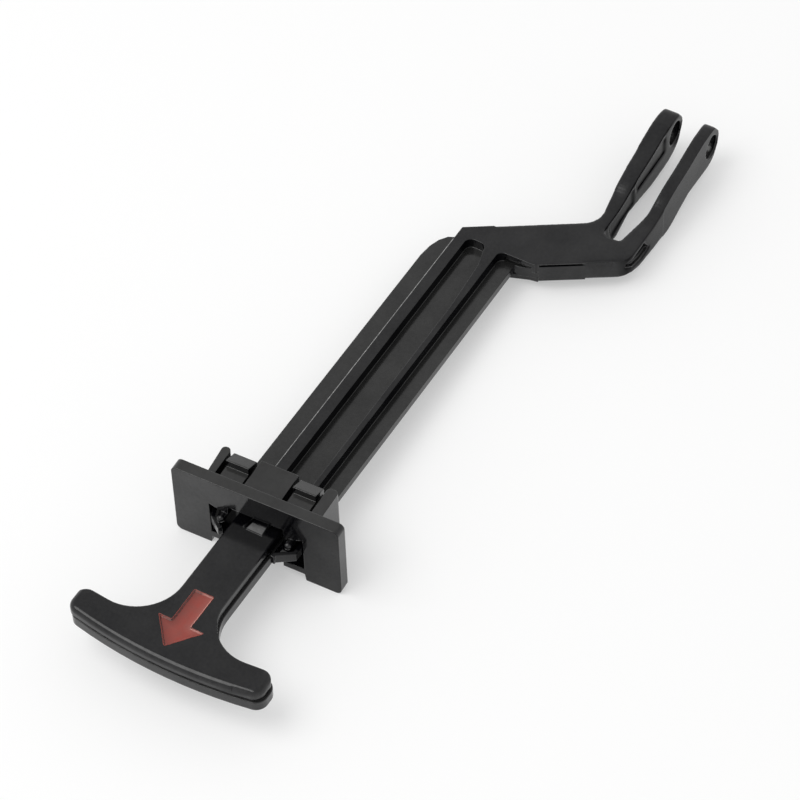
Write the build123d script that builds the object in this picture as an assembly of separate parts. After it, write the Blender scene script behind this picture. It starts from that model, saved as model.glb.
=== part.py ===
from build123d import *
import os

os.makedirs("parts", exist_ok=True)

# Bonnet release lever, all sizes in millimetres.
# X runs along the lever from the hand grip (minus) to the fork (plus), Z is up.
# Plan sizes are written as (x, v), where v counts to the right of somebody
# who holds the grip and looks towards the fork, so v is minus Y.

# grip and stem
grip_half = 22.6        # half the width of the T grip
grip_mid = 0.1          # middle of the T grip, a little to the right of the stem
grip_front = -37.65     # front edge of the grip on the centre line
grip_bow = 2.3          # how far that edge falls back at the ends
grip_skew = 0.2         # and how far its right end lies further forward
grip_back = -30.9       # back edge of the grip at the stem, where the fingers pull
lobe_back = -29.3       # that edge at the two ends, which stand back a little
grip_round = 2.6        # corner radius of the grip ends
root_round = 10.0       # large radius from the grip into the stem
stem_half = 5.0         # half the width of the stem, upper mould half
mould_right = 0.45      # the lower mould half sits this far to the right
mould_front = 0.25      # and this far to the front
grip_thick = 5.0        # thickness of grip and stem
part_line = 2.3         # depth of the parting line below the top
part_groove = 0.15      # height of the groove at the parting line
groove_deep = 0.15      # depth of that groove
edge_round = 0.4        # radius along the top edge of stem and grip
front_round = 1.2       # larger radius along the front and the ends of the grip

# arrow in the top of the grip
arrow_tail = -19.6      # x of the tail end
arrow_neck = -28.1      # x where shaft and head meet
arrow_tip = -34.3       # x of the point
arrow_shaft = 2.15      # half width of the shaft
arrow_wing = 5.15       # half width of the head
arrow_deep = 0.5        # depth of the sunk arrow
arrow_fill = 0.3        # thickness of the red infill in it

# stop ramp on the stem
stop_back = 1.3         # x of its steep rear end
stop_front = -1.7       # x of its low front end
stop_half = 2.35        # half width
stop_high = 1.05        # height of the rear end
stop_low = 0.3          # height of the front end
stop_slant = 0.9        # how much narrower it gets on the left

# ribbed arm
arm_start = 11.0        # full width begins here, shoulders run up to it
arm_end = 89.3          # right-hand end of the flange
arm_left = 9.8          # flange edge on the left
arm_right = 9.3         # flange edge on the right
floor_deep = 2.4        # channel floor below the rib tops
flange_thick = 1.7      # thickness of the flange
rib1_left = -4.87       # broad rib, left side
rib1_right = -2.35      # broad rib, right side
rib2_left = 4.3         # narrow rib, left side
rib2_right = 5.5        # narrow rib, right side
under_rib = 1.6         # thickness of the two ribs below the flange
channel_start = 8.0     # near end of the channel between the ribs
channel_end = 89.4      # its rounded far end
pocket_right = 2.4      # right side of the channel at its far end

# neck and fork
neck_thick = 5.2        # thickness of the neck
ledge_x = 89.1          # edge of the neck towards the open channel
slot_root = 104.2       # root of the fork slot
slot_lo = 22.2          # left side of the slot
slot_hi = 28.0          # right side of the slot
prong_lo = 18.95        # outer side of the left prong at its tip
prong_hi = 30.9         # outer side of the right prong
fork_end = 141.9        # tip of the fork
eye_x = 138.3           # centre of the pin holes
eye_z = 0.1
eye_bore = 5.2          # diameter of the pin holes
eye_boss = 4.5          # radius of the full material round them
recess_deep = 0.4       # depth of the recesses in the prongs

# guide
guide_turn = 2.07       # the loose guide sits turned by this on the stem
guide_shift = -0.25     # and this far to the left
plate_half = 19.15      # half the width of the face plate
plate_top = 8.0
plate_bottom = -11.35
plate_thick = 2.65
plate_round = 1.3
window_half = 6.3       # upper window
window_top = 2.1
notch_half = 10.8       # side notches
notch_top = 1.05
notch_bottom = -8.0
tooth_v = 6.9           # tip of the tooth between window and notch
tooth_z = -0.5
lip_thick = 1.5         # lips below the notches
lip_half = 5.9          # free space between the lips
panel_v = notch_half + 0.4          # inner side of the plate below the lips
box_inner = notch_half + 0.3        # inner side of both cheeks
box_left = box_inner + 2.0          # outer sides of the cheeks
box_right = box_inner + 2.5
box_taper = 0.55        # the left cheek gets thinner by this towards the plate
box_back = 10.6         # rear end of the guide
box_top = 6.6
box_bottom = -9.5
roof_thick = 1.5        # roof over the lever, and floor below it
tongue_hi = box_inner - 0.8         # outer sides of the two snap tongues
tongue_lo = tongue_hi - 5.2
tongue_top = 5.8
tongue_thick = 1.4
barb_front = 6.8        # catch face of the barb
barb_back = 10.1
barb_top = 7.4
barb_heel = 6.2         # height of the rear end of the barb
slot_gap = 0.8          # slots beside the tongues
finger_thick = 0.9      # spring fingers beside the stem
finger_top = -1.0
finger_low = -3.1
finger_left = [(-1.0, -9.3), (-3.15, -6.5)]     # bend and tip, (x, v)
finger_right = [(-1.85, 9.95), (-4.1, 6.5), (-4.8, 6.4)]
knob_left = -7.4        # rounded stops above the fingers
knob_right = 8.1
knob_z = -0.6
knob_r = 0.85


def pt(x, v):
    """Plan point from x and v."""
    return (x, -v)


def plan(points):
    """Flat face from plan points (x, v)."""
    return make_face(Polyline(*[pt(x, v) for x, v in points], close=True))


def slab(points, low, high):
    """Flat piece from plan points (x, v), between two heights."""
    return extrude(Pos(0, 0, low) * plan(points), high - low)


def block(x0, x1, v0, v1, z0, z1):
    """Plain box from its limits."""
    size = Box(x1 - x0, v1 - v0, z1 - z0)
    return Pos((x0 + x1) / 2, -(v0 + v1) / 2, (z0 + z1) / 2) * size


def side_plane(v):
    """Plane that looks to the right, with x along the lever and z up."""
    return Plane(origin=(0, -v, 0), x_dir=(1, 0, 0), z_dir=(0, -1, 0))


def side_cut(points, v0, v1):
    """Solid from a side outline (x, z), between two values of v."""
    face = make_face(Polyline(*[(x, z) for x, z in points], close=True))
    return extrude(side_plane(v0) * face, v1 - v0)


def near(face, x, v):
    """Corner of a plan face nearest to one plan point."""
    return min(face.vertices(), key=lambda p: (p.X - x) ** 2 + (p.Y + v) ** 2)


def grip_outline():
    """T grip with its bowed front and the stem, top view."""
    left = grip_mid - grip_half
    right = grip_mid + grip_half
    left_front = grip_front + grip_bow + grip_skew
    right_front = grip_front + grip_bow - grip_skew
    bow_mid = grip_mid + 5 * grip_skew
    front = ThreePointArc(pt(left_front, left), pt(grip_front, bow_mid), pt(right_front, right))
    rest = Polyline(
        pt(right_front, right),
        pt(lobe_back, right),
        pt(grip_back, stem_half),
        pt(channel_start + 1, stem_half),
        pt(channel_start + 1, -stem_half),
        pt(grip_back, -stem_half),
        pt(lobe_back, left),
        pt(left_front, left),
    )
    face = make_face([front, rest])
    ends = [near(face, x, v) for x, v in ((lobe_back, left), (left_front, left))]
    ends += [near(face, x, v) for x, v in ((lobe_back, right), (right_front, right))]
    face = fillet(ends, grip_round)
    roots = [near(face, grip_back, -stem_half), near(face, grip_back, stem_half)]
    return fillet(roots, root_round)


def front_rounding():
    """Cutter that rounds the top edge along the front and the ends of the grip."""
    left = grip_mid - grip_half
    right = grip_mid + grip_half
    left_front = grip_front + grip_bow + grip_skew
    right_front = grip_front + grip_bow - grip_skew
    side_in = Line(pt(lobe_back + 5, left), pt(left_front, left))
    bow = ThreePointArc(pt(left_front, left), pt(grip_front, grip_mid + 5 * grip_skew), pt(right_front, right))
    side_out = Line(pt(right_front, right), pt(lobe_back + 5, right))
    path = Wire([side_in, bow, side_out])
    corners = [near(path, left_front, left), near(path, right_front, right)]
    path = path.fillet_2d(grip_round, corners)
    start = Plane(origin=path @ 0, x_dir=(0, 1, 0), z_dir=(-1, 0, 0))
    r = front_round
    outside = Polyline((-r, 0), (-r, -1), (2, -1), (2, r), (0, r))
    round_edge = ThreePointArc((0, r), (-r * (1 - 0.7071), r * (1 - 0.7071)), (-r, 0))
    return sweep(start * make_face([outside, round_edge]), path=path)


def arrow_points(trim):
    """Outline of the arrow that points along the pull, smaller by trim."""
    return [
        (arrow_tail - trim, -arrow_shaft + trim),
        (arrow_tail - trim, arrow_shaft - trim),
        (arrow_neck - trim, arrow_shaft - trim),
        (arrow_neck - trim, arrow_wing - 2.3 * trim),
        (arrow_tip + 1.6 * trim, 0),
        (arrow_neck - trim, -arrow_wing + 2.3 * trim),
        (arrow_neck - trim, -arrow_shaft + trim),
    ]


def grip():
    """Grip and stem from two mould halves with a groove between them."""
    face = grip_outline()
    upper = extrude(Pos(0, 0, -part_line) * face, part_line)
    rim = [e for e in upper.edges() if e.center().Z > -0.01 and e.center().X < channel_start]
    upper = fillet(rim, edge_round) - front_rounding()
    low_top = -part_line - part_groove
    shift = Pos(-mould_front, -mould_right, -grip_thick)
    lower = extrude(shift * face, grip_thick + low_top)
    rim = [e for e in lower.edges() if e.center().Z < 0.01 - grip_thick and e.center().X < channel_start]
    lower = fillet(rim, edge_round)
    thin = offset(face, -groove_deep)
    middle = extrude(Pos(0, 0, low_top) * thin, part_groove)
    body = upper + middle + lower
    return body - slab(arrow_points(0), -arrow_deep, 1)


def stop_ramp():
    """Small ramp on top of the stem that rises towards the plate, with a low lip on its left."""
    side = [(stop_front, -0.5), (stop_front, stop_low), (stop_back, stop_high), (stop_back, -0.5)]
    body = side_cut(side, -stop_half, stop_half)
    left = 0.9 - stop_half
    wedge = [(stop_front, left), (stop_front, stop_half), (stop_back, stop_half), (stop_back, left + stop_slant)]
    body = body & slab(wedge, -1, 2)
    lip = [(stop_front + 0.3, -stop_half), (stop_front + 0.2, 0.3 - stop_half)]
    lip += [(stop_back, 0.3 - stop_half + stop_slant), (stop_back, stop_slant - stop_half)]
    return body + slab(lip, -0.5, stop_low + 0.05)


def flange_outline():
    """Flange of the arm, top view, with its rounded far left corner."""
    shoulder = arm_left - stem_half
    points = [
        (90.0, -4.0),
        (90.4, -5.2),
        (89.4, -7.3),
        (87.6, -8.6),
        (85.2, -9.4),
        (82.0, -arm_left),
        (arm_start, -arm_left),
        (arm_start - shoulder, -stem_half),
        (arm_start - shoulder, stem_half),
        (arm_start - shoulder + 4.3, arm_right),
        (arm_end, arm_right),
        (arm_end, 6.0),
        (90.0, 6.0),
    ]
    return plan(points)


def arm():
    """Ribbed arm: a flange with two ribs above and two below."""
    low = -floor_deep - flange_thick
    rib_start = channel_start - 2
    body = extrude(Pos(0, 0, low) * flange_outline(), flange_thick)
    body += block(rib_start, ledge_x, rib1_left, rib1_right, -floor_deep - 0.5, 0)
    body += block(rib_start, ledge_x, rib2_left, rib2_right, -floor_deep - 0.5, 0)
    body += block(rib_start, channel_start, rib1_left, rib2_right, low, 0)
    for v in (rib1_left, rib2_right - under_rib):
        body += block(rib_start, ledge_x, v, v + under_rib, -grip_thick, low + 0.2)
    gusset = [(ledge_x - 19, rib2_left), (ledge_x - 6, rib2_left - 0.75), (ledge_x, pocket_right)]
    gusset += [(ledge_x, rib2_left + 0.1), (ledge_x - 19, rib2_left + 0.1)]
    body += slab(gusset, -floor_deep - 0.3, 0)
    return body


def neck_outline():
    """Neck and fork in one, top view, before the slot is cut."""
    points = [
        (84.0, rib1_left),
        (91.4, rib1_left),
        (107.0, 19.95),
        (130.0, prong_lo + 0.1),
        (fork_end + 2, prong_lo),
        (fork_end + 2, prong_hi),
        (99.8, prong_hi),
        (ledge_x + 0.5, 14.4),
        (ledge_x, 14.2),
        (ledge_x, rib2_right),
        (84.0, rib2_right),
    ]
    face = plan(points)
    face = fillet(near(face, 107.0, 19.95), 5.6)
    face = fillet(near(face, 99.8, prong_hi), 4.5)
    return fillet(near(face, ledge_x, rib2_right), 1.5)


def fork_side(left):
    """Side outline of the fork; the left prong is slimmer at its bend."""
    top = [(80.0, 0.0), (113.5, 0.0), (119.5, 2.3), (135.6, 4.6), (139.9, 4.6), (141.4, 2.9), (fork_end - 0.1, 1.2)]
    if left:
        tip = [(141.4, -0.6), (140.4, -2.8), (139.0, -4.3), (137.3, -5.2), (135.3, -5.8)]
        low = [(132.5, -6.1), (127.0, -6.3), (121.0, -5.6), (116.5, -5.2), (111.0, -7.4)]
    else:
        tip = [(141.4, -0.9), (139.9, -3.4), (138.6, -4.3), (136.6, -4.8)]
        low = [(127.8, -4.7), (123.5, -6.0), (120.5, -7.1), (118.4, -7.6), (112.5, -7.4)]
    root = [(105.0, -6.7), (101.0, -neck_thick), (80.0, -neck_thick)]
    return top + tip + low + root


def prong_recess(v0, v1, left):
    """Recesses in one side of a prong, from v0 to v1."""
    bay = [(107.5, -1.0), (113.5, -1.0), (118.8, 0.7), (118.8, -3.9), (113.5, -4.4), (108.5, -5.4)]
    far = [(120.0, 1.2), (133.2, 3.2), (133.2, -1.0), (120.0, -1.6)]
    cut = side_cut(far, v0, v1)
    if left:
        cut += side_cut(bay, v0, v1)
    boss = side_plane(v0) * (Pos(eye_x, eye_z) * Circle(eye_boss))
    return cut - extrude(boss, v1 - v0)


def slot_outline():
    """Slot between the prongs, top view, with a slanting right root."""
    far = fork_end + 5
    points = [
        (slot_root, slot_lo),
        (slot_root, 26.5),
        (113.4, slot_hi),
        (far, slot_hi),
        (far, slot_lo),
    ]
    face = plan(points)
    face = fillet(near(face, slot_root, slot_lo), 1.6)
    return fillet(near(face, slot_root, 26.5), 0.6)


def neck_cuts():
    """Groove below the near top edge, pocket round the bend, step at the ledge."""
    groove = slab([(88.9, 15.0), (97.3, 28.8), (98.7, 28.1), (90.5, 14.6)], -1.0, -0.35)
    ring = plan([(98.5, 27.6), (101.2, 32.0), (110.0, 32.0), (110.0, 29.7), (102.6, 29.5), (100.0, 26.8)])
    pocket = extrude(Pos(0, 0, -8) * ring, 10)
    side = [(98.5, -1.6), (102.0, -1.8), (107.2, -1.5), (109.6, -4.8), (106.0, -4.9), (102.5, -4.0)]
    pocket = pocket & side_cut(side, 20, 40)
    step = block(ledge_x - 1, ledge_x + 1.0, rib2_right + 1.2, 13.4, -2.5, -1.0)
    foot = slab([(88.9, 9.4), (90.5, 14.7), (87.0, 14.7), (87.0, 9.4)], -neck_thick - 1, -2.5)
    return groove + pocket + step + foot


def fork():
    """Neck and two-pronged fork with recesses, bend pocket and pin holes."""
    whole = extrude(Pos(0, 0, -12) * neck_outline(), 24)
    middle = (slot_lo + slot_hi) / 2
    body = whole & side_cut(fork_side(True), -10, middle)
    body += whole & side_cut(fork_side(False), middle - 0.01, 40)
    body -= extrude(Pos(0, 0, -12) * slot_outline(), 24)
    body -= prong_recess(slot_lo - recess_deep, slot_lo + 0.1, True)
    body -= prong_recess(prong_lo - 0.1, prong_lo + recess_deep + 0.1, True)
    body -= prong_recess(slot_hi - 0.1, slot_hi + recess_deep, True)
    body -= prong_recess(prong_hi - recess_deep / 3, prong_hi + 0.1, False)
    body -= neck_cuts()
    body += slab([(88.3, 7.6), (90.0, 12.4), (90.3, 14.2), (92.0, 14.2), (90.4, 7.6)], -6.3, 0.2 - neck_thick)
    bore = side_plane(prong_lo - 2) * (Pos(eye_x, eye_z) * Circle(eye_bore / 2))
    return body - extrude(bore, prong_hi - prong_lo + 4)


def lever():
    """The whole lever, one moulding."""
    body = grip() + stop_ramp() + arm() + fork()
    wide = pocket_right - rib1_right
    mid = (rib1_right + pocket_right) / 2
    end = Pos(channel_end - 3.6, -mid) * RectangleRounded(7.2, wide, 1.7)
    return body - extrude(Pos(0, 0, -floor_deep) * end, floor_deep + 1)


def arrow_infill():
    """Red infill that lies in the sunk arrow."""
    return slab(arrow_points(0.02), -arrow_deep, arrow_fill - arrow_deep)


def plate():
    """Face plate of the guide with its stepped window."""
    face = Plane(origin=(0, 0, 0), x_dir=(0, 1, 0), z_dir=(1, 0, 0))
    mid = (plate_top + plate_bottom) / 2
    outer = Pos(0, mid) * RectangleRounded(2 * plate_half, plate_top - plate_bottom, plate_round)
    half = [
        (0, window_top),
        (window_half, window_top),
        (window_half + 0.25, tooth_z),
        (tooth_v, tooth_z),
        (notch_half, notch_top),
        (notch_half, notch_bottom),
        (lip_half, notch_bottom),
        (lip_half, notch_bottom - lip_thick),
        (panel_v - 0.4, notch_bottom - lip_thick),
        (panel_v, plate_bottom - 1),
    ]
    other = [(-v, z) for v, z in reversed(half[1:])]
    window = make_face(Polyline(*(half + other), close=True))
    return extrude(face * (outer - window), plate_thick)


def snap_tongue(side):
    """Snap tongue with its barb, on one side of the guide."""
    low = tongue_top - tongue_thick
    shape = [
        (plate_thick - 0.2, low),
        (plate_thick - 0.2, tongue_top),
        (barb_front, tongue_top),
        (barb_front, barb_top),
        (barb_front + 0.3, barb_top),
        (barb_back, barb_heel),
        (barb_back, low),
    ]
    lo = tongue_lo if side > 0 else -tongue_hi
    return side_cut(shape, lo, lo + tongue_hi - tongue_lo)


def guide_box():
    """Cheeks, roof and middle web behind the face plate."""
    front = plate_thick - 0.2
    body = block(front, box_back, -box_inner, box_inner, window_top, window_top + roof_thick)
    body += block(front, box_back, slot_gap - tongue_lo, tongue_lo - slot_gap, window_top, box_top)
    body += block(front, box_back, -box_inner, box_inner, box_bottom, box_bottom + roof_thick)
    for inner, outer, taper in ((-box_inner, -box_left, box_taper), (box_inner, box_right, 0)):
        wall = plan([(front, inner), (box_back, inner), (box_back, outer), (front, outer + taper)])
        wall = fillet([near(wall, box_back, inner), near(wall, box_back, outer)], 0.9)
        body += extrude(Pos(0, 0, box_bottom) * wall, box_top - box_bottom)
    return body


def spring_finger(side, points):
    """Leaf that springs from a cheek, through the notch, to the stem."""
    root = (4.5, side * (box_inner + 0.3))
    knee = (2.0, side * (box_inner - 0.75))
    line = Polyline(*[pt(x, v) for x, v in [root, knee] + points])
    return extrude(Pos(0, 0, finger_low) * trace(line, finger_thick), finger_top - finger_low)


def finger_knob(v):
    """Rounded stop on the face plate above a spring finger."""
    stem = Pos(0.4, -v, knob_z) * (Rot(0, 90, 0) * Cylinder(knob_r, 3.2))
    return stem + Pos(-1.2, -v, knob_z) * Sphere(knob_r)


def guide():
    """The guide, one moulding, turned a little as it sits on the stem."""
    body = plate() + guide_box()
    body += snap_tongue(-1) + snap_tongue(1)
    body += spring_finger(-1, finger_left) + spring_finger(1, finger_right)
    body += finger_knob(knob_left) + finger_knob(knob_right)
    return Rot(0, 0, guide_turn) * (Pos(0, -guide_shift, 0) * body)


def save(shape, name):
    """Write one piece; a single solid stays a single solid."""
    solids = shape.solids()
    print(name, "solids:", len(solids), "volume:", round(sum(s.volume for s in solids), 1))
    shape = solids[0] if len(solids) == 1 else Compound(children=solids)
    shape.label = name
    export_step(shape, os.path.join("parts", name + ".step"))


save(lever(), "lever")
save(arrow_infill(), "arrow_infill")
save(guide(), "guide")
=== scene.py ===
"""Looks of the bonnet release lever: black satin mouldings, a red painted arrow, a plain studio stage."""

import math

import bmesh
import bpy
from bpy.props import FloatProperty, FloatVectorProperty, IntProperty, PointerProperty
from mathutils import Matrix, Vector, noise
from mathutils.geometry import delaunay_2d_cdt


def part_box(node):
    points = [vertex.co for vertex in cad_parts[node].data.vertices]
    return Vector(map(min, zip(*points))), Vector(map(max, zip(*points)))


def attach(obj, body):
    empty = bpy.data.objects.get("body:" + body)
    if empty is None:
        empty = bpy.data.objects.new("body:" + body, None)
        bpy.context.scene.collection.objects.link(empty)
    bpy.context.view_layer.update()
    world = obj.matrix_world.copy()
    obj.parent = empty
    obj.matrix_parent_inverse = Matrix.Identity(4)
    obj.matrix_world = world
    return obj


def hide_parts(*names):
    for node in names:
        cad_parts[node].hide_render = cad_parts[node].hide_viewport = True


bl_info = {
    "name": "Bonnet release lever",
    "version": (1, 0, 0),
    "blender": (4, 5, 0),
    "location": "3D View > Sidebar > Bonnet lever",
    "description": "Dresses the packed lever, its arrow and its guide, and sets up a studio stage",
    "category": "Object",
}

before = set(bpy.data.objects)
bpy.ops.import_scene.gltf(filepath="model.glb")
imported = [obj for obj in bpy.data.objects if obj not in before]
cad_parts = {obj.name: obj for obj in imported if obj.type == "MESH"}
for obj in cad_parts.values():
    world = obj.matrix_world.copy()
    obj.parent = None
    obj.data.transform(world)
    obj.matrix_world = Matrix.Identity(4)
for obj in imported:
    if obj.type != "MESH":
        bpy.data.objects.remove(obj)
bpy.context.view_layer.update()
MM = 0.001
ARROW_LOW, ARROW_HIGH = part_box("arrow_infill")
GUIDE_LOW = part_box("guide")[0]

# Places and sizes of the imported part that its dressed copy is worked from; MM turns them to metres
FORK_TOP = ((0.0, 0.0), (113.5, 0.0), (119.5, 2.3), (135.6, 4.6), (150.0, 4.6))  # along the lever, height
FORK_TOP_SPREAD = 3.2 * MM  # the bends of that edge are averaged over this much to either side
LEFT_PRONG = -20.5 * MM  # further left than this lies the outer side of the left prong
LEFT_PRONG_EXTRA = 1.0 * MM
RIGHT_PRONG = -30.55 * MM  # further right than this lies the outer side of the right prong
RIGHT_PRONG_FACE = -30.87 * MM
TIP_RISE = 0.75 * MM
TIP_DROP = 1.3 * MM
FRONT_ROUND = 1.2 * MM  # radius of the rounding along the grip's front
FRONT_FROM = -35.96 * MM
GUSSET_STEP = Vector((84.0, -2.4)) * MM
GUSSET_END = 87.6 * MM
SHARP_EDGE = math.radians(28)
# Path of the painted highlight along the broad rib's left top edge
RIB_EDGE_HIGHLIGHT = tuple((x * MM, 4.86 * MM, -0.06 * MM) for x in (12.5, 30.0, 50.0, 70.0, 87.5))

# The painted arrow
ARROW_MIDDLE = Vector((-26.8, 0.0)) * MM
ARROW_ROUNDS = (0.12, 0.45, 0.12, 0.25, 0.12, 0.45, 0.12)  # how far each corner is cut back, in mm
OUTLINE_STEP = 0.10 * MM
FILM_STEP = 0.13 * MM
FILM_DEPTH = 0.11 * MM
PAINT_CREST = 0.012 * MM  # how far the paint stands over the edge
GENTLE_CLIMB, STEEP_CLIMB = 0.62 * MM, 0.20 * MM

# The softbox
LAMP_AIM = Vector((0.05, 0.0, 0.0))
LAMP_WAY = Vector((-0.35, 0.35, 0.87))
LAMP_DISTANCE = 1.3


# Sizes and colours that a user would change


class PlasticFinish(bpy.types.PropertyGroup):
    """Black satin plastic of the two mouldings."""

    tone: FloatVectorProperty(
        name="Tone", description="Colour of the bare plastic", subtype="COLOR", size=3, min=0, max=1,
        default=(0.0010, 0.0010, 0.0018))
    haze: FloatVectorProperty(
        name="Haze", description="Colour where the surface is a little hazy", subtype="COLOR", size=3, min=0, max=1,
        default=(0.0030, 0.0030, 0.0036))
    rubbed: FloatVectorProperty(
        name="Rubbed edge", description="Colour along edges that are rubbed", subtype="COLOR", size=3, min=0, max=1,
        default=(0.020, 0.020, 0.021))
    # Dust that also serves as painted light: it lightens faces that look up
    dust_and_painted_light: FloatVectorProperty(
        name="Dust", description="Colour that fine dust adds on faces that look up", subtype="COLOR", size=3, min=0,
        max=1, default=(0.022, 0.022, 0.0215))
    lever_gloss: FloatProperty(
        name="Lever roughness", description="Roughness of the lever's satin surface", min=0.05, max=1, default=0.13)
    guide_gloss: FloatProperty(
        name="Guide roughness", description="Roughness of the guide's satin surface", min=0.05, max=1, default=0.09)
    grain: FloatProperty(
        name="Grain size", description="Size of the fine grain left by the mould", unit="LENGTH", precision=5,
        default=0.26 * MM)
    grain_height: FloatProperty(
        name="Grain height", description="Height of that grain", unit="LENGTH", precision=6, default=0.0045 * MM)
    edge: FloatProperty(
        name="Edge radius", description="How far the moulded edges are rounded", unit="LENGTH", precision=5,
        default=0.28 * MM)
    seam: FloatProperty(
        name="Soft part from", description="The lever is softly rounded beyond this place along it", unit="LENGTH",
        precision=4, default=95 * MM)
    voxel: FloatProperty(
        name="Surface step", description="Size of the faces of the softly rounded part", unit="LENGTH", precision=5,
        default=0.22 * MM)
    soften: IntProperty(
        name="Softening", description="Smoothing steps that round the edges of the fork", min=1, default=22)


class ArrowPaint(bpy.types.PropertyGroup):
    """Red paint in the sunk arrow."""

    tone: FloatVectorProperty(
        name="Paint", description="Colour of the red paint", subtype="COLOR", size=3, min=0, max=1,
        default=(0.27, 0.042, 0.030))
    faded: FloatVectorProperty(
        name="Faded paint", description="Colour where the paint is thin or dull", subtype="COLOR", size=3, min=0, max=1,
        default=(0.22, 0.050, 0.038))
    dark: FloatVectorProperty(
        name="Dark edge", description="Colour of the paint along the walls that lie in shade", subtype="COLOR", size=3,
        min=0, max=1, default=(0.045, 0.009, 0.007))
    light: FloatVectorProperty(
        name="Light edge", description="Colour of the paint where it climbs the walls that face the light",
        subtype="COLOR", size=3, min=0, max=1, default=(0.68, 0.36, 0.31))
    film: FloatProperty(
        name="Paint level", description="How far the paint lies below the top of the grip", unit="LENGTH", precision=5,
        default=0.36 * MM)
    bleed: FloatProperty(
        name="Bleed", description="How far the paint has run over the edge of the arrow", unit="LENGTH", precision=5,
        default=0.07 * MM)
    wobble: FloatProperty(
        name="Ragged edge", description="How uneven that edge is", unit="LENGTH", precision=5, default=0.09 * MM)
    rim: FloatProperty(
        name="Rim", description="Radius of the bead of paint along the edge", unit="LENGTH", precision=5,
        default=0.06 * MM)


class StageSetup(bpy.types.PropertyGroup):
    """Floor, light and camera."""

    floor: FloatVectorProperty(
        name="Floor", description="Colour of the pale floor", subtype="COLOR", size=3, min=0, max=1,
        default=(0.93, 0.932, 0.932))
    floor_tilt: FloatProperty(
        name="Floor tilt", description="The lever leans on its guide and its fork, so the floor is not level with it",
        subtype="ANGLE", default=math.radians(1.84))
    sky_low: FloatProperty(
        name="Light near the horizon", description="Strength of the surrounding light low down", default=0.95)
    sky_high: FloatProperty(
        name="Light overhead", description="Strength of the surrounding light overhead", default=0.66)
    softbox: FloatProperty(
        name="Softbox power", description="Power of the large soft lamp overhead", unit="POWER", default=7.5)
    floor_glow: FloatProperty(
        name="Floor glow", description="Share of the floor's white that its shadows don't take away",
        subtype="FACTOR", min=0, max=1, default=0.38)


# Helpers for node trees


class Nodes:
    """Adds nodes to a tree from left to right and links them."""

    def __init__(self, tree):
        self.tree = tree
        self.count = 0

    def add(self, kind, label="", **settings):
        made = self.tree.nodes.new(kind)
        made.label = label
        made.location = (220 * (self.count % 8), -260 * (self.count // 8))
        self.count += 1
        for key, value in settings.items():
            setattr(made, key, value)
        return made

    def link(self, start, end):
        self.tree.links.new(start, end)

    def math(self, operation, first, second=None, clamp=False):
        made = self.add("ShaderNodeMath", operation=operation, use_clamp=clamp)
        for socket, value in zip(made.inputs, (first, second)):
            if isinstance(value, (int, float)):
                socket.default_value = value
            elif value is not None:
                self.link(value, socket)
        return made.outputs[0]

    def noise(self, coords, size, detail=2.0, roughness=0.5, stretch=None):
        """Noise whose blotches are about that size, in metres."""
        if stretch:
            mapping = self.add("ShaderNodeMapping")
            mapping.inputs["Scale"].default_value = stretch
            self.link(coords, mapping.inputs["Vector"])
            coords = mapping.outputs[0]
        made = self.add("ShaderNodeTexNoise")
        made.inputs["Scale"].default_value = 1 / size
        made.inputs["Detail"].default_value = detail
        made.inputs["Roughness"].default_value = roughness
        self.link(coords, made.inputs["Vector"])
        return made.outputs["Fac"]

    def ramp(self, value, low, high, out_low=0.0, out_high=1.0):
        made = self.add("ShaderNodeMapRange")
        made.clamp = True
        for name, number in (("From Min", low), ("From Max", high), ("To Min", out_low), ("To Max", out_high)):
            made.inputs[name].default_value = number
        self.link(value, made.inputs["Value"])
        return made.outputs[0]

    def mix(self, share, first, second):
        """Colour between two others."""
        made = self.add("ShaderNodeMix", data_type="RGBA")
        self.link(share, made.inputs["Factor"])
        for socket, value in ((made.inputs[6], first), (made.inputs[7], second)):
            if hasattr(value, "is_linked"):
                self.link(value, socket)
            else:
                socket.default_value = (*value, 1)
        return made.outputs[2]

    def bump(self, height, distance, normal=None):
        made = self.add("ShaderNodeBump")
        made.inputs["Strength"].default_value = 1.0
        made.inputs["Distance"].default_value = distance
        self.link(height, made.inputs["Height"])
        if normal is not None:
            self.link(normal, made.inputs["Normal"])
        return made.outputs[0]


def new_material(name):
    """Empty node material with its shader."""
    material = bpy.data.materials.new(name)
    material.use_nodes = True
    material.node_tree.nodes.clear()
    nodes = Nodes(material.node_tree)
    coords = nodes.add("ShaderNodeTexCoord").outputs["Object"]
    return material, nodes, coords


def finish_material(nodes, colour, roughness, normal, shine=None, **plain):
    """Shader and output; plain values are set on the shader's own sockets."""
    shader = nodes.add("ShaderNodeBsdfPrincipled")
    if shine is not None:
        nodes.link(shine, shader.inputs["Specular IOR Level"])
    for name, value in plain.items():
        shader.inputs[name.replace("_", " ")].default_value = value
    nodes.link(colour, shader.inputs["Base Color"])
    nodes.link(roughness, shader.inputs["Roughness"])
    nodes.link(normal, shader.inputs["Normal"])
    output = nodes.add("ShaderNodeOutputMaterial")
    nodes.link(shader.outputs[0], output.inputs["Surface"])


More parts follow.
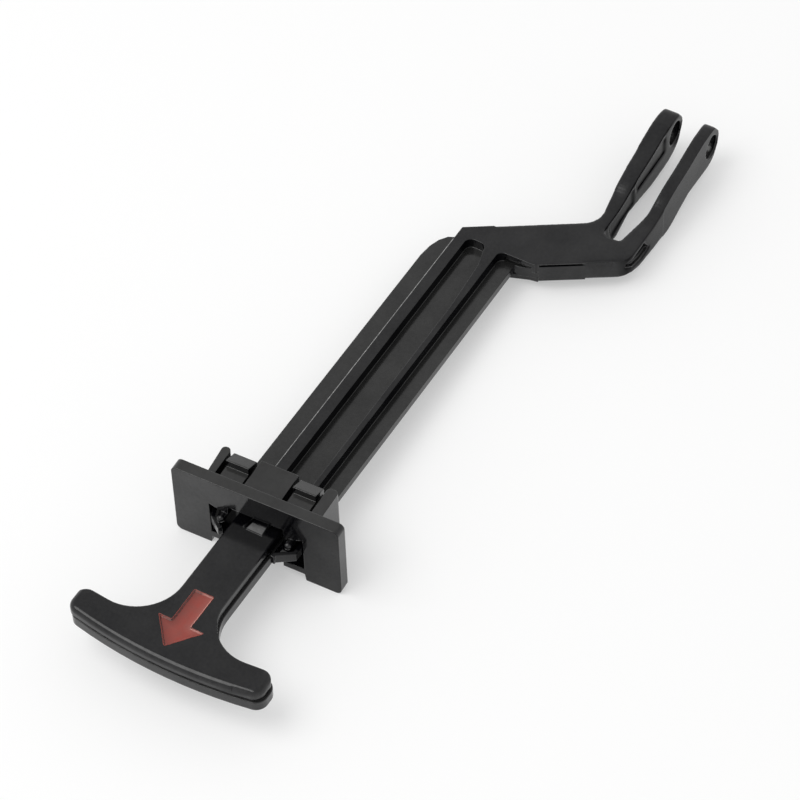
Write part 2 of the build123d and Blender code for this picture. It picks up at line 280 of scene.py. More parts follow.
def satin_plastic(name, finish, gloss, is_guide=False):
    """Black moulded plastic: fine grain, flow haze, hairlines, rounded and slightly rubbed edges; dust that is also
    painted light on faces that look up, and painted shade on right-facing sides, where the shine is turned down.
    """
    material, nodes, coords = new_material(name)
    place = nodes.add("ShaderNodeSeparateXYZ")
    nodes.link(coords, place.inputs[0])
    rounded = nodes.add("ShaderNodeBevel", samples=12)
    rounded.inputs["Radius"].default_value = finish.edge
    face = nodes.add("ShaderNodeNewGeometry")
    along = nodes.add("ShaderNodeVectorMath", operation="DOT_PRODUCT")
    nodes.link(rounded.outputs[0], along.inputs[0])
    nodes.link(face.outputs["Normal"], along.inputs[1])
    blotch = nodes.noise(coords, 9 * MM, detail=4, roughness=0.6)
    flow = nodes.noise(coords, 5 * MM, detail=2, stretch=(0.25, 1, 1))
    grain = nodes.noise(coords, finish.grain, detail=2, roughness=0.6)
    hair = nodes.noise(coords, 0.35 * MM, detail=1, stretch=(0.04, 1, 1))
    edge = nodes.ramp(along.outputs["Value"], 0.995, 0.86)
    pale_edges = nodes.math("MULTIPLY", edge, nodes.ramp(blotch, 0.42, 0.62), clamp=True)
    body = nodes.mix(nodes.ramp(blotch, 0.35, 0.7), finish.tone, finish.haze)
    colour = nodes.mix(pale_edges, body, finish.rubbed)
    facing = nodes.add("ShaderNodeSeparateXYZ")
    nodes.link(face.outputs["Normal"], facing.inputs[0])
    if is_guide:
        low = nodes.ramp(place.outputs["Z"], 1.0 * MM, 2.5 * MM, 0.0, 0.9)
    else:
        low = nodes.ramp(place.outputs["Z"], -1.2 * MM, -2.2 * MM, 0.0, 0.7)
    # Dust and painted light: faces that look up are made lighter, low in the lever's channels and high on the guide
    dust_and_painted_light_share = nodes.math("MULTIPLY", nodes.ramp(facing.outputs["Z"], 0.80, 0.97), low)
    dust_and_painted_light_share = nodes.math("MULTIPLY", dust_and_painted_light_share, nodes.ramp(blotch, 0.2, 0.6, 0.75, 1.0))
    colour = nodes.mix(dust_and_painted_light_share, colour, finish.dust_and_painted_light)
    scratch = nodes.ramp(hair, 0.70, 0.78)
    rough = nodes.ramp(flow, 0.3, 0.7, gloss - 0.045, gloss + 0.045)
    rough = nodes.math("ADD", rough, nodes.math("MULTIPLY", scratch, 0.08))
    rough = nodes.math("ADD", rough, nodes.math("MULTIPLY", nodes.ramp(grain, 0.3, 0.7), 0.05), clamp=True)
    waves = nodes.bump(flow, 0.045 * MM, rounded.outputs[0])
    normal = nodes.bump(grain, finish.grain_height, waves)
    cloud = nodes.math("ADD", blotch, nodes.noise(coords, 0.7 * MM, detail=3, roughness=0.7))
    patchy = nodes.ramp(cloud, 0.7, 1.3, 0.80, 1.2)
    # Painted shade: the shine is turned down on right-facing sides; the patchy part varies at random
    shine = nodes.math("MULTIPLY", painted_shade_sides(nodes, place, facing, is_guide), patchy)
    finish_material(nodes, colour, rough, normal, shine, IOR=1.5)
    return material


def painted_shade_sides(nodes, place, facing, is_guide):
    """Shine of the plastic, turned down as painted shade on right-hand sides of ribs, neck and fork, and right on the
    plate's front.
    """
    if is_guide:
        turned = nodes.ramp(facing.outputs["X"], -0.7, -0.95)
        where = nodes.ramp(place.outputs["Y"], -3 * MM, -8 * MM)
        return nodes.ramp(nodes.math("MULTIPLY", turned, where), 0, 1, 0.5, 0.3)
    turned = nodes.ramp(facing.outputs["Y"], -0.45, -0.9)
    neck = nodes.ramp(place.outputs["X"], 85 * MM, 92 * MM)
    behind_guide = nodes.ramp(place.outputs["X"], 8 * MM, 12 * MM)
    left_of_flange = nodes.ramp(place.outputs["Y"], -8 * MM, -7 * MM)
    ribs = nodes.math("MULTIPLY", behind_guide, left_of_flange)
    where = nodes.math("MAXIMUM", neck, ribs)
    tips = nodes.ramp(place.outputs["X"], 108 * MM, 120 * MM, 0.06, 0.14)
    share = nodes.math("MULTIPLY", turned, where)
    less = nodes.math("MULTIPLY", share, nodes.math("SUBTRACT", 0.5, tips))
    return nodes.math("SUBTRACT", 0.5, less)


def red_paint(name, paint):
    """Brush-filled red paint: slightly uneven colour and level, dull where it is thin."""
    material, nodes, coords = new_material(name)
    cloud = nodes.noise(coords, 3.2 * MM, detail=4, roughness=0.6)
    speck = nodes.noise(coords, 0.22 * MM, detail=2)
    share = nodes.math("ADD", nodes.ramp(cloud, 0.35, 0.72), nodes.ramp(speck, 0.60, 0.74, 0, 0.35), clamp=True)
    colour = nodes.mix(share, paint.tone, paint.faded)
    dark = nodes.add("ShaderNodeAttribute", attribute_name="dark_edge").outputs["Fac"]
    light = nodes.add("ShaderNodeAttribute", attribute_name="light_edge").outputs["Fac"]
    colour = nodes.mix(dark, colour, paint.dark)
    colour = nodes.mix(light, colour, paint.light)
    rough = nodes.ramp(cloud, 0.3, 0.7, 0.30, 0.42)
    level = nodes.bump(cloud, 0.05 * MM)
    normal = nodes.bump(speck, 0.008 * MM, level)
    finish_material(nodes, colour, rough, normal, IOR=1.48)
    return material


def painted_edge_highlight(name):
    """Light grey for a moulded edge's burr, a painted highlight: the colour stands in for the light the edge catches.
    """
    material, nodes, coords = new_material(name)
    dots = nodes.noise(coords, 0.9 * MM, detail=3)
    colour = nodes.mix(nodes.ramp(dots, 0.35, 0.65), (0.16, 0.16, 0.16), (0.34, 0.34, 0.335))
    normal = nodes.add("ShaderNodeNewGeometry").outputs["Normal"]
    finish_material(nodes, colour, nodes.ramp(dots, 0.3, 0.7, 0.25, 0.4), normal)
    return material


# Paths swept by geometry nodes


def bead_tree(name):
    """Geometry nodes: a thin uneven bead along the path of a mesh's edges."""
    tree = bpy.data.node_groups.new(name, "GeometryNodeTree")
    tree.interface.new_socket("Geometry", in_out="INPUT", socket_type="NodeSocketGeometry")
    for label, kind, value in (
        ("Radius", "NodeSocketFloat", 0.06 * MM),
        ("Step", "NodeSocketFloat", 0.12 * MM),
        ("Uneven", "NodeSocketFloat", 0.05 * MM),
        ("Patch size", "NodeSocketFloat", 0.7 * MM),
        ("Seed", "NodeSocketFloat", 3.0),
        ("Material", "NodeSocketMaterial", None),
    ):
        socket = tree.interface.new_socket(label, in_out="INPUT", socket_type=kind)
        if value is not None:
            socket.default_value = value
    tree.interface.new_socket("Geometry", in_out="OUTPUT", socket_type="NodeSocketGeometry")
    nodes = Nodes(tree)
    given = nodes.add("NodeGroupInput")
    curve = nodes.add("GeometryNodeMeshToCurve")
    even = nodes.add("GeometryNodeResampleCurve", mode="LENGTH")
    place = nodes.add("GeometryNodeInputPosition")
    frequency = nodes.add("ShaderNodeMath", operation="DIVIDE")
    frequency.inputs[0].default_value = 1.0
    rag = nodes.add("ShaderNodeTexNoise", noise_dimensions="4D")
    middle = nodes.add("ShaderNodeVectorMath", operation="SUBTRACT")
    middle.inputs[1].default_value = (0.5, 0.5, 0.5)
    scaled = nodes.add("ShaderNodeVectorMath", operation="SCALE")
    moved = nodes.add("GeometryNodeSetPosition")
    width = nodes.add("ShaderNodeMapRange")
    thickness = nodes.add("GeometryNodeSetCurveRadius")
    ring = nodes.add("GeometryNodeCurvePrimitiveCircle")
    ring.inputs["Resolution"].default_value = 8
    sweep = nodes.add("GeometryNodeCurveToMesh")
    sweep.inputs["Fill Caps"].default_value = True
    smooth = nodes.add("GeometryNodeSetShadeSmooth")
    real = nodes.add("GeometryNodeRealizeInstances")
    paint = nodes.add("GeometryNodeSetMaterial")
    result = nodes.add("NodeGroupOutput")
    for value, low, high in (("From", 0.3, 0.7), ("To", 0.55, 1.35)):
        width.inputs[value + " Min"].default_value = low
        width.inputs[value + " Max"].default_value = high
    for start, end in (
        (given.outputs["Geometry"], curve.inputs["Mesh"]),
        (curve.outputs[0], even.inputs["Curve"]),
        (given.outputs["Step"], even.inputs["Length"]),
        (given.outputs["Patch size"], frequency.inputs[1]),
        (place.outputs[0], rag.inputs["Vector"]),
        (frequency.outputs[0], rag.inputs["Scale"]),
        (given.outputs["Seed"], rag.inputs["W"]),
        (rag.outputs["Color"], middle.inputs[0]),
        (middle.outputs[0], scaled.inputs[0]),
        (given.outputs["Uneven"], scaled.inputs["Scale"]),
        (even.outputs[0], moved.inputs["Geometry"]),
        (scaled.outputs[0], moved.inputs["Offset"]),
        (rag.outputs["Fac"], width.inputs["Value"]),
        (moved.outputs[0], thickness.inputs["Curve"]),
        (width.outputs[0], thickness.inputs["Radius"]),
        (thickness.outputs[0], sweep.inputs["Curve"]),
        (given.outputs["Radius"], ring.inputs["Radius"]),
        (ring.outputs[0], sweep.inputs["Profile Curve"]),
        (sweep.outputs[0], smooth.inputs["Geometry"]),
        (smooth.outputs[0], real.inputs["Geometry"]),
        (real.outputs[0], paint.inputs["Geometry"]),
        (given.outputs["Material"], paint.inputs["Material"]),
        (paint.outputs[0], result.inputs["Geometry"]),
    ):
        nodes.link(start, end)
    return tree


def new_object(name, mesh):
    """Object at the origin that shows a mesh."""
    made = bpy.data.objects.new(name, mesh)
    bpy.context.scene.collection.objects.link(made)
    return made


def swept(name, paths, tree, values):
    """Plain mesh piece from paths and a geometry nodes tree; each path is points, and whether it closes."""
    points, edges = [], []
    for path, closed in paths:
        first = len(points)
        points += [Vector(p) for p in path]
        edges += [(first + i, first + i + 1) for i in range(len(path) - 1)]
        if closed:
            edges.append((len(points) - 1, first))
    mesh = bpy.data.meshes.new(name + "_path")
    mesh.from_pydata(points, edges, [])
    carrier = new_object(name + "_path", mesh)
    modifier = carrier.modifiers.new("bead", "NODES")
    modifier.node_group = tree
    for item in tree.interface.items_tree:
        if item.in_out == "INPUT" and item.name in values:
            modifier[item.identifier] = values[item.name]
    graph = bpy.context.evaluated_depsgraph_get()
    made = bpy.data.meshes.new_from_object(carrier.evaluated_get(graph))
    bpy.data.objects.remove(carrier)
    made.name = name
    return new_object(name, made)


# The lever's smooth fork and grip


def merged(node):
    """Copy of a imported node's mesh with its loose triangles joined."""
    mesh = bmesh.new()
    mesh.from_mesh(node.data)
    bmesh.ops.remove_doubles(mesh, verts=mesh.verts, dist=0.002 * MM)
    return mesh


def cut_at(mesh, x, keep_far, fill=False):
    """Cut a mesh across the lever and keep one side."""
    parts = mesh.verts[:] + mesh.edges[:] + mesh.faces[:]
    cut = bmesh.ops.bisect_plane(
        mesh, geom=parts, dist=1e-7, plane_co=(x, 0, 0), plane_no=(1, 0, 0), clear_inner=keep_far,
        clear_outer=not keep_far)
    if fill:
        rim = [g for g in cut["geom_cut"] if isinstance(g, bmesh.types.BMEdge)]
        bmesh.ops.holes_fill(mesh, edges=rim, sides=0)
        bmesh.ops.triangulate(mesh, faces=[f for f in mesh.faces if len(f.verts) > 4])


def prong_top(x):
    """Height of the fork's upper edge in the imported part, in metres."""
    for (x0, z0), (x1, z1) in zip(FORK_TOP, FORK_TOP[1:]):
        if x <= x1 * MM:
            return MM * (z0 + (z1 - z0) * (x / MM - x0) / (x1 - x0))
    return MM * FORK_TOP[-1][1]


def eased(value, low, high):
    """0 below low, 1 above high, with a smooth rise between them."""
    t = min(1.0, max(0.0, (value - low) / (high - low)))
    return t * t * (3 - 2 * t)


def shape_fork_point(vert):
    """Smooth bends, a wider left prong, a flat right-hand side, and higher, rounder tips."""
    x, z = vert.co.x, vert.co.z
    top = prong_top(x)
    mean = sum(prong_top(x + FORK_TOP_SPREAD * k / 4) for k in range(-4, 5)) / 9
    vert.co.z += (mean - top) * min(1.0, max(0.0, (z - top + 6 * MM) / (5 * MM)))
    if vert.co.y > LEFT_PRONG:
        extra = eased(x, 104.5 * MM, 118 * MM) * (1 - 0.35 * eased(x, 136 * MM, 141 * MM))
        vert.co.y += LEFT_PRONG_EXTRA * extra
    if vert.co.y < RIGHT_PRONG and vert.normal.y < -0.6 and x > 116 * MM:
        vert.co.y = RIGHT_PRONG_FACE
    vert.co.z += TIP_RISE * eased(z, -1 * MM, 4 * MM) * eased(x, 124 * MM, 136 * MM)
    vert.co.z -= TIP_DROP * eased(x, 137.2 * MM, 142.4 * MM) ** 2 * eased(z, 1.0 * MM, 4.5 * MM)


def soft_fork(mesh, finish):
    """Neck and fork with evenly rounded edges, smooth bends and round tips."""
    cut_at(mesh, finish.seam - 2 * MM, True, fill=True)
    raw = bpy.data.meshes.new("fork_raw")
    mesh.to_mesh(raw)
    carrier = new_object("fork_raw", raw)
    even = carrier.modifiers.new("even", "REMESH")
    even.mode = "VOXEL"
    even.voxel_size = finish.voxel
    smooth = carrier.modifiers.new("soften", "SMOOTH")
    smooth.factor = 0.6
    smooth.iterations = finish.soften
    graph = bpy.context.evaluated_depsgraph_get()
    made = bpy.data.meshes.new_from_object(carrier.evaluated_get(graph))
    bpy.data.objects.remove(carrier)
    bpy.data.meshes.remove(raw)
    soft = bmesh.new()
    soft.from_mesh(made)
    bpy.data.meshes.remove(made)
    cut_at(soft, finish.seam, True)
    for vert in soft.verts:
        shape_fork_point(vert)
    for face in soft.faces:
        face.smooth = True
    return soft


def front_circle(mesh):
    """Centre and radius of the grip's bowed front in plan, and the two ends of its rounding across the grip."""
    chain = [v.co for v in mesh.verts if abs(v.co.z + FRONT_ROUND) < 0.004 * MM and v.co.x < FRONT_FROM]
    chain.sort(key=lambda c: c.y)
    a, b, c = chain[0], chain[len(chain) // 2], chain[-1]
    rows = Matrix((((b.x - a.x), (b.y - a.y)), ((c.x - a.x), (c.y - a.y))))
    right = Vector((b.x ** 2 - a.x ** 2 + b.y ** 2 - a.y ** 2, c.x ** 2 - a.x ** 2 + c.y ** 2 - a.y ** 2)) / 2
    middle = rows.inverted() @ right
    return middle, (Vector((a.x, a.y)) - middle).length, a.y, c.y


def true_front(mesh):
    """Replace the coarse facets of the front's rounding by an even quarter round."""
    size = FRONT_ROUND
    middle, radius, low, high = front_circle(mesh)
    coarse = []
    for face in mesh.faces:
        spots = [v.co for v in face.verts]
        lowest = min(s.z for s in spots)
        reach = min((Vector((s.x, s.y)) - middle).length for s in spots)
        between = min(s.y for s in spots) > low - 0.02 * MM and max(s.y for s in spots) < high + 0.02 * MM
        rounded = -size - 0.01 * MM < lowest <= -0.002 * MM and reach > radius - size - 0.05 * MM
        if rounded and between and max(s.x for s in spots) < -30 * MM:
            coarse.append(face)
    bmesh.ops.delete(mesh, geom=coarse, context="FACES_ONLY")
    steps, columns = 10, 120
    start = math.atan2(low - middle.y, -math.sqrt(radius ** 2 - (low - middle.y) ** 2))
    end = math.atan2(high - middle.y, -math.sqrt(radius ** 2 - (high - middle.y) ** 2))
    start, end = start % math.tau, end % math.tau
    rows = []
    for i in range(columns + 1):
        angle = start + (end - start) * i / columns
        way = Vector((math.cos(angle), math.sin(angle)))
        row = []
        for k in range(steps + 1):
            lean = math.pi / 2 * k / steps
            spot = middle + way * (radius - size + size * math.sin(lean))
            row.append(mesh.verts.new((spot.x, spot.y, size * math.cos(lean) - size)))
        rows.append(row)
    for one, two in zip(rows, rows[1:]):
        for k in range(steps):
            made = mesh.faces.new((one[k], one[k + 1], two[k + 1], two[k]))
            made.normal_update()
            if made.normal.z < 0:
                made.normal_flip()


def straight_gusset(mesh):
    """Take away the small step where the rib's widening meets the neck."""
    for vert in mesh.verts:
        if (Vector((vert.co.x, vert.co.y)) - GUSSET_STEP).length < 0.05 * MM:
            vert.co.x = GUSSET_END


def lever_mesh(finish):
    """The whole lever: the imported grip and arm, and the softly rounded fork."""
    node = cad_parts["lever"]
    body = merged(node)
    fork = soft_fork(merged(node), finish)
    cut_at(body, finish.seam, False)
    true_front(body)
    straight_gusset(body)
    bmesh.ops.triangulate(body, faces=[f for f in body.faces if len(f.verts) > 4])
    for face in body.faces:
        face.smooth = True
    for edge in body.edges:
        edge.smooth = len(edge.link_faces) == 2 and edge.calc_face_angle(0.0) < SHARP_EDGE
    made = bpy.data.meshes.new("lever_body")
    body.to_mesh(made)
    fork_part = bpy.data.meshes.new("lever_fork")
    fork.to_mesh(fork_part)
    body.free()
    fork.free()
    both = bmesh.new()
    both.from_mesh(made)
    both.from_mesh(fork_part)
    both.to_mesh(made)
    both.free()
    bpy.data.meshes.remove(fork_part)
    return made


# The painted arrow


def arrow_outline():
    """Outline of the sunk arrow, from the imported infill, as (x, y) in metres, closely spaced."""
    tail, tip = ARROW_HIGH.x, ARROW_LOW.x
    wing = ARROW_HIGH.y
    verts = {(round(v.co.x, 5), round(abs(v.co.y), 5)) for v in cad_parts["arrow_infill"].data.vertices}
    shaft = min(y for x, y in verts if abs(x - tail) < 1e-5)
    neck = [x for x, y in verts if abs(y - wing) < 1e-4][0]
    corners = [(tail, shaft), (neck, shaft), (neck, wing), (tip, 0.0), (neck, -wing), (neck, -shaft), (tail, -shaft)]
    rounded = round_corners([Vector(c) for c in corners], [size * MM for size in ARROW_ROUNDS])
    return close_spaced(rounded, OUTLINE_STEP)


def round_corners(corners, radii):
    """Polygon with each corner cut back and rounded by a short arc of points."""
    made = []
    for i, (corner, size) in enumerate(zip(corners, radii)):
        before = (corners[i - 1] - corner).normalized() * size
        after = (corners[(i + 1) % len(corners)] - corner).normalized() * size
        for step in range(7):
            t = step / 6
            made.append(corner + before * (1 - t) ** 2 + after * t ** 2)
    return made


def close_spaced(points, step):
    """Closed outline with points no further apart than the step."""
    made = []
    for i, point in enumerate(points):
        to = points[(i + 1) % len(points)]
        parts = max(1, math.ceil((to - point).length / step))
        made += [point.lerp(to, k / parts) for k in range(parts)]
    return made


def ragged(outline, bleed, wobble):
    """Outline pushed outwards by a small uneven amount."""
    made = []
    for i, point in enumerate(outline):
        way = (outline[(i + 2) % len(outline)] - outline[i - 2]).normalized()
        out = Vector((way.y, -way.x))
        shift = bleed + wobble * noise.noise(Vector((point.x, point.y, 0.004)) / (0.55 * MM))
        made.append(point + out * shift)
    return made


def turn_of(points):
    """Signed area of an outline."""
    return sum(a.x * b.y - b.x * a.y for a, b in zip(points, points[1:] + points[:1])) / 2


def paint_level(depth, film, bleed, climb):
    """Height of the paint at a distance in from its edge: over the rim, down the wall, then level."""
    wall = depth - bleed
    if wall < 0:
        return PAINT_CREST * (1 - (wall / bleed) ** 2)
    fall = min(wall / climb, 1.0)
    return PAINT_CREST - (film + PAINT_CREST) * (1 - (1 - fall) ** 2.4)


def paint_film(paint):
    """Closed film of paint that climbs the walls of the sunk arrow."""
    outline = arrow_outline()
    if turn_of(outline) < 0:
        outline.reverse()
    outer = ragged(outline, paint.bleed, paint.wobble)
    inner = []
    step = FILM_STEP
    low, high = ARROW_LOW - Vector((step, step, 0)), ARROW_HIGH + Vector((step, step, 0))
    columns = int((high.x - low.x) / step)
    rows = int((high.y - low.y) / step)
    for i in range(columns + 1):
        for j in range(rows + 1):
            point = Vector((low.x + step * (i + 0.5 * (j % 2)), low.y + step * j))
            if inside_by(point, outer) > 0.45 * step:
                inner.append(point)
    count = len(outer)
    points, _, triangles, *_ = delaunay_2d_cdt(outer + inner, [], [list(range(count))], 1, 1e-9)
    mesh = bmesh.new()
    top = []
    for point in points:
        spot = min(range(count), key=lambda i: (outer[i] - point).length)
        way = outer[(spot + 2) % count] - outer[spot - 2]
        climb = GENTLE_CLIMB if way.x > 0.3 * way.length else STEEP_CLIMB
        height = paint_level(max(0.0, inside_by(point, outer)), paint.film, paint.bleed, climb)
        top.append(mesh.verts.new((point.x, point.y, height)))
    for triangle in triangles:
        mesh.faces.new([top[i] for i in triangle])
    edges = [e for e in mesh.edges if len(e.link_faces) == 1]
    walls = bmesh.ops.extrude_edge_only(mesh, edges=edges)
    lower = [g for g in walls["geom"] if isinstance(g, bmesh.types.BMVert)]
    for vert in lower:
        flat = Vector((vert.co.x, vert.co.y))
        flat += (ARROW_MIDDLE - flat).normalized() * paint.bleed * 0.2
        vert.co = (flat.x, flat.y, -paint.film - FILM_DEPTH)
    rim = [g for g in walls["geom"] if isinstance(g, bmesh.types.BMEdge) and len(g.link_faces) == 1]
    bmesh.ops.holes_fill(mesh, edges=rim, sides=0)
    bmesh.ops.recalc_face_normals(mesh, faces=mesh.faces)
    made = bpy.data.meshes.new("arrow_paint")
    mesh.to_mesh(made)
    mesh.free()
    for polygon in made.polygons:
        polygon.use_smooth = len(polygon.vertices) == 3
    edge_tones(made, outer)
    return made, outer


def edge_tones(mesh, outline):
    """Two attributes: how far a point of the paint lies in a wall's shade, or on a wall that catches the light."""
    spots = []
    for i, point in enumerate(outline):
        way = (outline[(i + 2) % len(outline)] - outline[i - 2]).normalized()
        spots.append((point, Vector((way.y, -way.x))))
    dark = mesh.attributes.new("dark_edge", "FLOAT", "POINT")
    light = mesh.attributes.new("light_edge", "FLOAT", "POINT")
    for i, vert in enumerate(mesh.vertices):
        flat = Vector((vert.co.x, vert.co.y))
        shade, glint = 0.0, 0.0
        patch = 0.5 + noise.noise(Vector((flat.x, flat.y, 0.01)) / (0.5 * MM))
        broad = 0.5 + noise.noise(Vector((flat.x, flat.y, 0.02)) / (1.3 * MM))
        near_left = min((p - flat).length for p, out in spots if out.y > 0.3)
        near_right = min((p - flat).length for p, out in spots if out.y < -0.3 and out.x > -0.4)
        near_back = min((p - flat).length for p, out in spots if out.x > 0.8)
        near_front = min((p - flat).length for p, out in spots if out.x < -0.3 and out.y < 0)
        if near_left < 0.42 * MM:
            band = min(1.0, near_left / (0.10 * MM)) * min(1.0, (0.42 * MM - near_left) / (0.16 * MM))
            shade = band * (0.55 + 0.45 * min(1.0, patch * 1.6))
        shade = max(shade, 0.42 * max(0.0, 1 - near_left / (2.3 * MM)))
        if near_back < 0.36 * MM:
            left_part = min(1.0, max(0.0, (flat.y + 0.6 * MM) / (1.2 * MM)))
            shade = max(shade, left_part * 0.8 * min(1.0, near_back / (0.12 * MM)) * min(1.0, patch * 1.5))
            glint = (1 - left_part * 0.75) * max(0.0, 1 - near_back / (0.30 * MM)) * (0.45 + 0.5 * broad)
        if near_front < 0.2 * MM:
            shade = max(shade, 0.35 * patch)
        if near_right < 0.30 * MM and near_front > 0.5 * MM:
            glint = max(glint, min(1.0, (0.30 * MM - near_right) / (0.12 * MM)) * (0.62 + 0.38 * min(1.0, broad * 1.5)))
        elif near_right < 0.5 * MM:
            shade = max(shade, 0.12)
        if near_left < 0.11 * MM:
            glint = max(glint, 0.22 * patch)
        glint = max(glint, 0.10 * max(0.0, 1 - near_right / (1.8 * MM)))
        dark.data[i].value = max(0.0, min(1.0, shade * (1 - min(1.0, glint * 1.4))))
        light.data[i].value = max(0.0, min(1.0, glint))


def inside_by(point, outline):
    """How far a point lies inside an outline; below zero outside."""
    inside, nearest = False, 1e9
    for i, a in enumerate(outline):
        b = outline[i - 1]
        if (a.y > point.y) != (b.y > point.y):
            if point.x < (b.x - a.x) * (point.y - a.y) / (b.y - a.y) + a.x:
                inside = not inside
        gap = (a - point).length
        if gap < nearest:
            nearest = gap
    return nearest if inside else -nearest


# Operators


class LEVER_OT_dress_lever(bpy.types.Operator):
    """Give the lever moulding its smooth fork, its black satin plastic and a light grey bead along its broad rib, a
    painted highlight on the rib's edge
    """

    bl_idname = "bonnet_lever.dress_lever"
    bl_label = "Lever plastic"

    def execute(self, context):
        finish = context.scene.bonnet_plastic
        material = satin_plastic("lever_satin_black", finish, finish.lever_gloss)
        body = new_object("lever_moulding", lever_mesh(finish))
        body.data.materials.append(material)
        even = body.modifiers.new("flat faces stay flat", "WEIGHTED_NORMAL")
        even.keep_sharp = True
        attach(body, "lever")
        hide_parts("lever")
        # Painted highlight: a light grey bead stands in for the light caught by the rib's edge
        pale_edges = painted_edge_highlight("painted_edge_highlight")
        values = {"Radius": 0.10 * MM, "Material": pale_edges, "Uneven": 0.04 * MM, "Patch size": 2.5 * MM, "Seed": 9.0}
        line = swept("rib_edge_highlight", [(RIB_EDGE_HIGHLIGHT, False)], bead_tree("edge_bead"), values)
        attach(line, "lever")
        return {"FINISHED"}


class LEVER_OT_dress_guide(bpy.types.Operator):
    """Give the guide moulding its smoother black plastic"""

    bl_idname = "bonnet_lever.dress_guide"
    bl_label = "Guide plastic"

    def execute(self, context):
        finish = context.scene.bonnet_plastic
        material = satin_plastic("guide_satin_black", finish, finish.guide_gloss, is_guide=True)
        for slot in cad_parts["guide"].material_slots:
            slot.material = material
        return {"FINISHED"}


class LEVER_OT_paint_arrow(bpy.types.Operator):
    """Fill the sunk arrow with red paint and lay a fine bead of it along the edge"""

    bl_idname = "bonnet_lever.paint_arrow"
    bl_label = "Red arrow"

    def execute(self, context):
        paint = context.scene.bonnet_paint
        material = red_paint("arrow_red_paint", paint)
        mesh, outer = paint_film(paint)
        film = new_object("arrow_paint", mesh)
        film.data.materials.append(material)
        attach(film, "lever")
        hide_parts("arrow_infill")
        path = [(p.x, p.y, 0.0) for p in outer]
        values = {"Radius": paint.rim, "Material": material, "Uneven": 0.05 * MM, "Seed": 5.0}
        rim = swept("arrow_paint_rim", [(path, True)], bead_tree("paint_bead"), values)
        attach(rim, "lever")
        return {"FINISHED"}


class LEVER_OT_set_stage(bpy.types.Operator):
    """Set up the pale floor, the soft light and the camera"""

    bl_idname = "bonnet_lever.set_stage"
    bl_label = "Studio stage"

    def execute(self, context):
        setup = context.scene.bonnet_stage
        add_floor(setup)
        add_light(context.scene, setup)
        add_camera(context.scene)
        return {"FINISHED"}


# Stage


def add_floor(setup):
    """Large round pale floor through the points the lever leans on."""
    mesh = bpy.data.meshes.new("floor")
    shape = bmesh.new()
    bmesh.ops.create_circle(shape, cap_ends=True, radius=4.0, segments=96)
    tilt = Matrix.Rotation(-setup.floor_tilt, 4, "Y")
    place = Matrix.Translation(Vector((1.3 * MM, 0, GUIDE_LOW.z)))
    bmesh.ops.transform(shape, matrix=place @ tilt, verts=shape.verts)
    shape.to_mesh(mesh)
    shape.free()
    floor = new_object("floor", mesh)
    material, nodes, coords = new_material("pale_floor")
    cloud = nodes.noise(coords, 150 * MM, detail=2)
    deeper = tuple(c * 0.992 for c in setup.floor)
    colour = nodes.mix(nodes.ramp(cloud, 0.3, 0.7), tuple(setup.floor), deeper)
    shader = nodes.add("ShaderNodeBsdfDiffuse")
    nodes.link(colour, shader.inputs["Color"])
    white = nodes.add("ShaderNodeEmission")
    white.inputs["Color"].default_value = (0.966, 0.967, 0.967, 1)
    ray = nodes.add("ShaderNodeLightPath")
    seen = nodes.math("MAXIMUM", ray.outputs["Is Camera Ray"], ray.outputs["Is Glossy Ray"])
    seen = nodes.math("MAXIMUM", seen, ray.outputs["Is Transmission Ray"])
    share = nodes.math("MULTIPLY", seen, setup.floor_glow)
    both = nodes.add("ShaderNodeMixShader")
    nodes.link(share, both.inputs[0])
    nodes.link(shader.outputs[0], both.inputs[1])
    nodes.link(white.outputs[0], both.inputs[2])
    output = nodes.add("ShaderNodeOutputMaterial")
    nodes.link(both.outputs[0], output.inputs["Surface"])
    floor.data.materials.append(material)


def add_light(scene, setup):
    """Even surrounding light, brighter towards the horizon, and one large softbox."""
    world = bpy.data.worlds.new("studio")
    world.use_nodes = True
    world.node_tree.nodes.clear()
    nodes = Nodes(world.node_tree)
    way = nodes.add("ShaderNodeTexCoord").outputs["Generated"]
    parts = nodes.add("ShaderNodeSeparateXYZ")
    nodes.link(way, parts.inputs[0])
    strength = nodes.ramp(parts.outputs["Z"], 0.3, 0.8, setup.sky_low, setup.sky_high)
    glow = nodes.add("ShaderNodeBackground")
    glow.inputs["Color"].default_value = (1.0, 1.0, 1.0, 1)
    nodes.link(strength, glow.inputs["Strength"])
    output = nodes.add("ShaderNodeOutputWorld")
    nodes.link(glow.outputs[0], output.inputs["Surface"])
    scene.world = world
    lamp = bpy.data.lights.new("softbox", "AREA")
    lamp.shape = "RECTANGLE"
    lamp.size = 1.0
    lamp.size_y = 0.9
    lamp.energy = setup.softbox
    lamp.color = (1.0, 0.995, 0.985)
    box = bpy.data.objects.new("softbox", lamp)
    scene.collection.objects.link(box)
    box.location = LAMP_AIM + LAMP_WAY.normalized() * LAMP_DISTANCE
    box.rotation_euler = LAMP_WAY.to_track_quat("Z", "Y").to_euler()


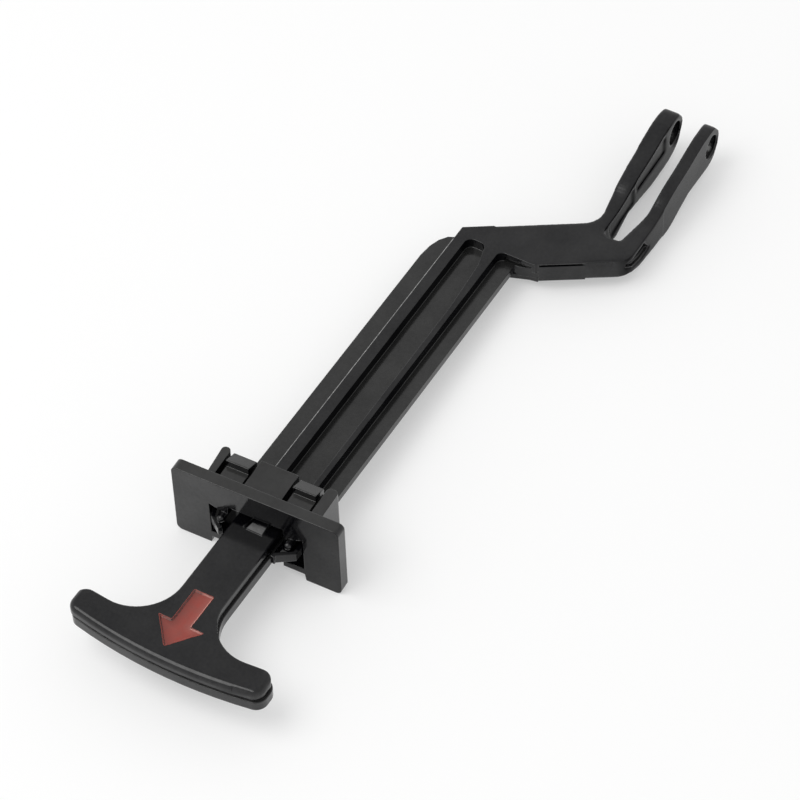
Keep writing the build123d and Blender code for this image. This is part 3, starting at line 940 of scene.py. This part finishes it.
def add_camera(scene):
    """Camera at the photograph's place, in line with its long lens."""
    camera = bpy.data.cameras.new("camera")
    camera.sensor_width = 36.0
    camera.lens = 165.43
    camera.clip_start = 0.01
    camera.clip_end = 20.0
    view = bpy.data.objects.new("camera", camera)
    scene.collection.objects.link(view)
    view.location = (-376.47 * MM, -271.05 * MM, 571.67 * MM)
    view.rotation_euler = (math.radians(40.8497), math.radians(1.4829), math.radians(-59.6219))
    scene.camera = view
    scene.view_settings.view_transform = "Standard"


# Panel and start


class LEVER_PT_looks(bpy.types.Panel):
    """Looks of the bonnet release lever"""

    bl_idname = "LEVER_PT_looks"
    bl_label = "Bonnet lever"
    bl_space_type = "VIEW_3D"
    bl_region_type = "UI"
    bl_category = "Bonnet lever"

    def draw(self, context):
        for operator in OPERATORS:
            self.layout.operator(operator.bl_idname)
        for group in ("bonnet_plastic", "bonnet_paint", "bonnet_stage"):
            values = getattr(context.scene, group)
            box = self.layout.box()
            for key in values.bl_rna.properties.keys():
                if key not in ("rna_type", "name"):
                    box.prop(values, key)


OPERATORS = (LEVER_OT_dress_lever, LEVER_OT_dress_guide, LEVER_OT_paint_arrow, LEVER_OT_set_stage)
GROUPS = (PlasticFinish, ArrowPaint, StageSetup)


def register():
    for one in GROUPS + OPERATORS + (LEVER_PT_looks,):
        bpy.utils.register_class(one)
    bpy.types.Scene.bonnet_plastic = PointerProperty(type=PlasticFinish)
    bpy.types.Scene.bonnet_paint = PointerProperty(type=ArrowPaint)
    bpy.types.Scene.bonnet_stage = PointerProperty(type=StageSetup)


def unregister():
    del bpy.types.Scene.bonnet_stage
    del bpy.types.Scene.bonnet_paint
    del bpy.types.Scene.bonnet_plastic
    for one in reversed(GROUPS + OPERATORS + (LEVER_PT_looks,)):
        bpy.utils.unregister_class(one)


def main():
    register()
    bpy.ops.bonnet_lever.dress_lever()
    bpy.ops.bonnet_lever.dress_guide()
    bpy.ops.bonnet_lever.paint_arrow()
    bpy.ops.bonnet_lever.set_stage()


if __name__ == "__main__":
    main()
